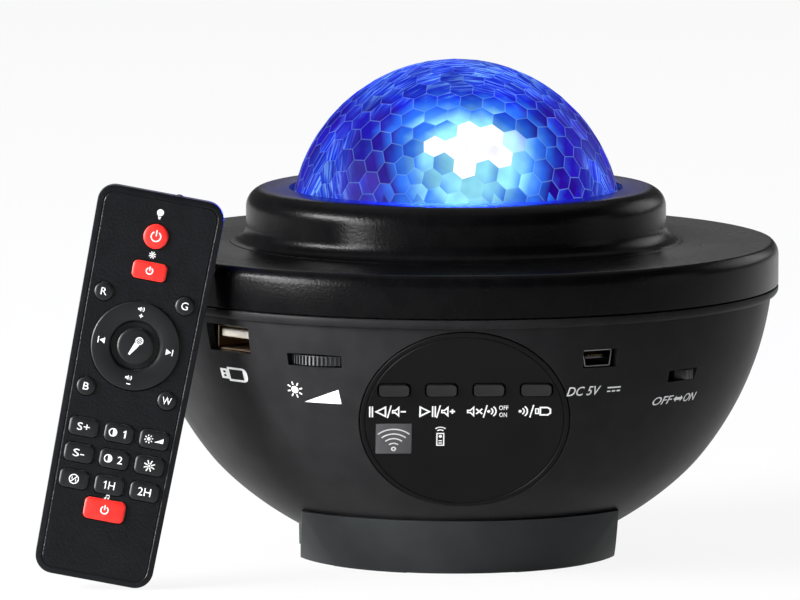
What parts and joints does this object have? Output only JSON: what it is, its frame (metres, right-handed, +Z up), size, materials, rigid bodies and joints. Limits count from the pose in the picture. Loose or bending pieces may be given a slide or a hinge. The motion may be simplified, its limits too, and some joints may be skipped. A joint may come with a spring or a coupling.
{
  "type": "star night light projector",
  "caption": "Bowl-shaped night light projector with a faceted dome over its lamp, a downward speaker, a control panel and ports, and a slim remote control beside it.",
  "frame": {"origin": "on the table at the middle of the foot, under the dome's axis", "axes": "+Z up, -Y out of the control panel's side, +X to the right seen from there"},
  "size_m": [0.1892, 0.165, 0.1266],
  "materials": {
    "bowl_black": "fine moulded satin",
    "cover_black": "fine textured satin",
    "foot_grey": "satin",
    "dome_clear": "clear, faceted, lit blue from inside",
    "panel_black": "printed satin film",
    "key_black": "satin",
    "window_grey": "smoked window",
    "pad_rubber": "matt",
    "screw_steel": "zinc plated",
    "socket_steel": "nickel plated",
    "switch_plastic": "moulded",
    "board_green": "solder mask",
    "receiver_black": "epoxy",
    "speaker_steel": "black paint",
    "magnet_iron": "ferrite",
    "cone_paper": "pressed",
    "deck_white": "moulded",
    "lamp_aluminium": "extruded",
    "lens_clear": "polished",
    "motor_steel": "plated",
    "laser_brass": "turned",
    "remote_black": "fine satin",
    "key_rubber": "silicone, matt",
    "key_red": "silicone, matt",
    "coin_steel": "plated",
    "ir_lamp": "tinted epoxy"
  },
  "bodies": {
    "housing": {"bowl_shell": "bowl_black", "top_cover": "cover_black", "dome": "dome_clear", "base_cover": "foot_grey", "foot_pads": "pad_rubber", "short_screws": "screw_steel", "cover_screws": "screw_steel", "control_panel": "panel_black", "ir_window": "window_grey", "thumbwheel_pot": "switch_plastic", "power_switch_body": "switch_plastic", "usb_a_socket": "socket_steel", "power_socket": "socket_steel", "main_board": "board_green", "panel_board": "board_green", "tact_switches": "switch_plastic", "ir_receiver": "receiver_black", "speaker_frame": "speaker_steel", "speaker_magnet": "magnet_iron", "lamp_deck": "deck_white", "led_board": "lamp_aluminium", "heat_sink": "lamp_aluminium", "lamp_lens": "lens_clear", "disc_motor": "motor_steel", "laser_module": "laser_brass", "grating_motor": "motor_steel"},
    "previous_button": {"previous_button": "key_black"},
    "play_button": {"play_button": "key_black"},
    "mute_button": {"mute_button": "key_black"},
    "mode_button": {"mode_button": "key_black"},
    "thumbwheel": {"thumbwheel": "key_black"},
    "power_switch_knob": {"power_switch_knob": "key_black"},
    "ripple_disc": {"ripple_disc": "lens_clear"},
    "grating_disc": {"grating_disc": "lens_clear"},
    "speaker_cone": {"speaker_cone": "cone_paper"},
    "remote": {"remote_front_shell": "remote_black", "remote_back_shell": "remote_black", "remote_keypad": "key_rubber", "remote_board": "board_green", "remote_battery": "coin_steel", "remote_ir_led": "ir_lamp"},
    "remote_battery_door": {"remote_battery_door": "remote_black"},
    "remote_ring_key": {"remote_ring_key": "key_rubber"},
    "remote_lamp_key": {"remote_lamp_key": "key_red"},
    "remote_laser_key": {"remote_laser_key": "key_red"},
    "remote_red_key": {"remote_red_key": "key_rubber"},
    "remote_green_key": {"remote_green_key": "key_rubber"},
    "remote_blue_key": {"remote_blue_key": "key_rubber"},
    "remote_white_key": {"remote_white_key": "key_rubber"},
    "remote_mic_key": {"remote_mic_key": "key_rubber"},
    "remote_music_key": {"remote_music_key": "key_red"},
    "remote_speed_up_key": {"remote_speed_up_key": "key_rubber"},
    "remote_fade_1_key": {"remote_fade_1_key": "key_rubber"},
    "remote_brightness_key": {"remote_brightness_key": "key_rubber"},
    "remote_speed_down_key": {"remote_speed_down_key": "key_rubber"},
    "remote_fade_2_key": {"remote_fade_2_key": "key_rubber"},
    "remote_laser_light_key": {"remote_laser_light_key": "key_rubber"},
    "remote_motor_key": {"remote_motor_key": "key_rubber"},
    "remote_1_hour_key": {"remote_1_hour_key": "key_rubber"},
    "remote_2_hour_key": {"remote_2_hour_key": "key_rubber"}
  },
  "joints": [
    {"name": "previous_press", "type": "slide", "parent": "housing", "child": "previous_button", "axis": [0, 0.8949, 0.4462], "range_m": [0, 0.0005], "stiffness_N_per_m": 300, "springref_m": -0.001},
    {"name": "play_press", "type": "slide", "parent": "housing", "child": "play_button", "axis": [0, 0.8949, 0.4462], "range_m": [0, 0.0005], "stiffness_N_per_m": 300, "springref_m": -0.001},
    {"name": "mute_press", "type": "slide", "parent": "housing", "child": "mute_button", "axis": [0, 0.8949, 0.4462], "range_m": [0, 0.0005], "stiffness_N_per_m": 300, "springref_m": -0.001},
    {"name": "mode_press", "type": "slide", "parent": "housing", "child": "mode_button", "axis": [0, 0.8949, 0.4462], "range_m": [0, 0.0005], "stiffness_N_per_m": 300, "springref_m": -0.001},
    {"name": "thumbwheel_turn", "type": "hinge", "parent": "housing", "child": "thumbwheel", "pos_m": [-0.03283, -0.06097, 0.0578], "axis": [0, 0, 1], "range_deg": [-135, 135]},
    {"name": "power_switch_slide", "type": "slide", "parent": "housing", "child": "power_switch_knob", "axis": [0.7034, 0.7108, 0], "range_m": [-0.004, 0]},
    {"name": "ripple_disc_spin", "type": "hinge", "parent": "housing", "child": "ripple_disc", "pos_m": [0, 0.009, 0.097], "axis": [0, 0, 1], "continuous": true},
    {"name": "grating_disc_spin", "type": "hinge", "parent": "housing", "child": "grating_disc", "pos_m": [-0.025, -0.007, 0.092], "axis": [0, 0, 1], "continuous": true},
    {"name": "speaker_cone_stroke", "type": "slide", "parent": "housing", "child": "speaker_cone", "axis": [0, 0, 1], "range_m": [-0.001, 0.001], "stiffness_N_per_m": 1500},
    {"name": "remote_lift", "type": "slide", "parent": "housing", "child": "remote", "axis": [0, 0, 1], "range_m": [0, 0.12]},
    {"name": "remote_battery_door_turn", "type": "hinge", "parent": "remote", "child": "remote_battery_door", "pos_m": [-0.08785, -0.05761, 0.02864], "axis": [0.0099, -0.9986, 0.0514], "range_deg": [0, 45]},
    {"name": "remote_ring_tilt", "type": "hinge", "parent": "remote", "child": "remote_ring_key", "pos_m": [-0.08166, -0.061, 0.06077], "axis": [0.982, 0, -0.1891], "range_deg": [-1.2, 1.2], "stiffness_Nm_per_rad": 0.05},
    {"name": "remote_lamp_press", "type": "slide", "parent": "remote", "child": "remote_lamp_key", "axis": [-0.0099, 0.9986, -0.0514], "range_m": [0, 0.0005], "stiffness_N_per_m": 300, "springref_m": -0.001},
    {"name": "remote_laser_press", "type": "slide", "parent": "remote", "child": "remote_laser_key", "axis": [-0.0099, 0.9986, -0.0514], "range_m": [0, 0.0005], "stiffness_N_per_m": 300, "springref_m": -0.001},
    {"name": "remote_red_press", "type": "slide", "parent": "remote", "child": "remote_red_key", "axis": [-0.0099, 0.9986, -0.0514], "range_m": [0, 0.0005], "stiffness_N_per_m": 300, "springref_m": -0.001},
    {"name": "remote_green_press", "type": "slide", "parent": "remote", "child": "remote_green_key", "axis": [-0.0099, 0.9986, -0.0514], "range_m": [0, 0.0005], "stiffness_N_per_m": 300, "springref_m": -0.001},
    {"name": "remote_blue_press", "type": "slide", "parent": "remote", "child": "remote_blue_key", "axis": [-0.0099, 0.9986, -0.0514], "range_m": [0, 0.0005], "stiffness_N_per_m": 300, "springref_m": -0.001},
    {"name": "remote_white_press", "type": "slide", "parent": "remote", "child": "remote_white_key", "axis": [-0.0099, 0.9986, -0.0514], "range_m": [0, 0.0005], "stiffness_N_per_m": 300, "springref_m": -0.001},
    {"name": "remote_mic_press", "type": "slide", "parent": "remote", "child": "remote_mic_key", "axis": [-0.0099, 0.9986, -0.0514], "range_m": [0, 0.0005], "stiffness_N_per_m": 300, "springref_m": -0.001},
    {"name": "remote_music_press", "type": "slide", "parent": "remote", "child": "remote_music_key", "axis": [-0.0099, 0.9986, -0.0514], "range_m": [0, 0.0005], "stiffness_N_per_m": 300, "springref_m": -0.001},
    {"name": "remote_speed_up_press", "type": "slide", "parent": "remote", "child": "remote_speed_up_key", "axis": [-0.0099, 0.9986, -0.0514], "range_m": [0, 0.0005], "stiffness_N_per_m": 300, "springref_m": -0.001},
    {"name": "remote_fade_1_press", "type": "slide", "parent": "remote", "child": "remote_fade_1_key", "axis": [-0.0099, 0.9986, -0.0514], "range_m": [0, 0.0005], "stiffness_N_per_m": 300, "springref_m": -0.001},
    {"name": "remote_brightness_press", "type": "slide", "parent": "remote", "child": "remote_brightness_key", "axis": [-0.0099, 0.9986, -0.0514], "range_m": [0, 0.0005], "stiffness_N_per_m": 300, "springref_m": -0.001},
    {"name": "remote_speed_down_press", "type": "slide", "parent": "remote", "child": "remote_speed_down_key", "axis": [-0.0099, 0.9986, -0.0514], "range_m": [0, 0.0005], "stiffness_N_per_m": 300, "springref_m": -0.001},
    {"name": "remote_fade_2_press", "type": "slide", "parent": "remote", "child": "remote_fade_2_key", "axis": [-0.0099, 0.9986, -0.0514], "range_m": [0, 0.0005], "stiffness_N_per_m": 300, "springref_m": -0.001},
    {"name": "remote_laser_light_press", "type": "slide", "parent": "remote", "child": "remote_laser_light_key", "axis": [-0.0099, 0.9986, -0.0514], "range_m": [0, 0.0005], "stiffness_N_per_m": 300, "springref_m": -0.001},
    {"name": "remote_motor_press", "type": "slide", "parent": "remote", "child": "remote_motor_key", "axis": [-0.0099, 0.9986, -0.0514], "range_m": [0, 0.0005], "stiffness_N_per_m": 300, "springref_m": -0.001},
    {"name": "remote_1_hour_press", "type": "slide", "parent": "remote", "child": "remote_1_hour_key", "axis": [-0.0099, 0.9986, -0.0514], "range_m": [0, 0.0005], "stiffness_N_per_m": 300, "springref_m": -0.001},
    {"name": "remote_2_hour_press", "type": "slide", "parent": "remote", "child": "remote_2_hour_key", "axis": [-0.0099, 0.9986, -0.0514], "range_m": [0, 0.0005], "stiffness_N_per_m": 300, "springref_m": -0.001}
  ]
}
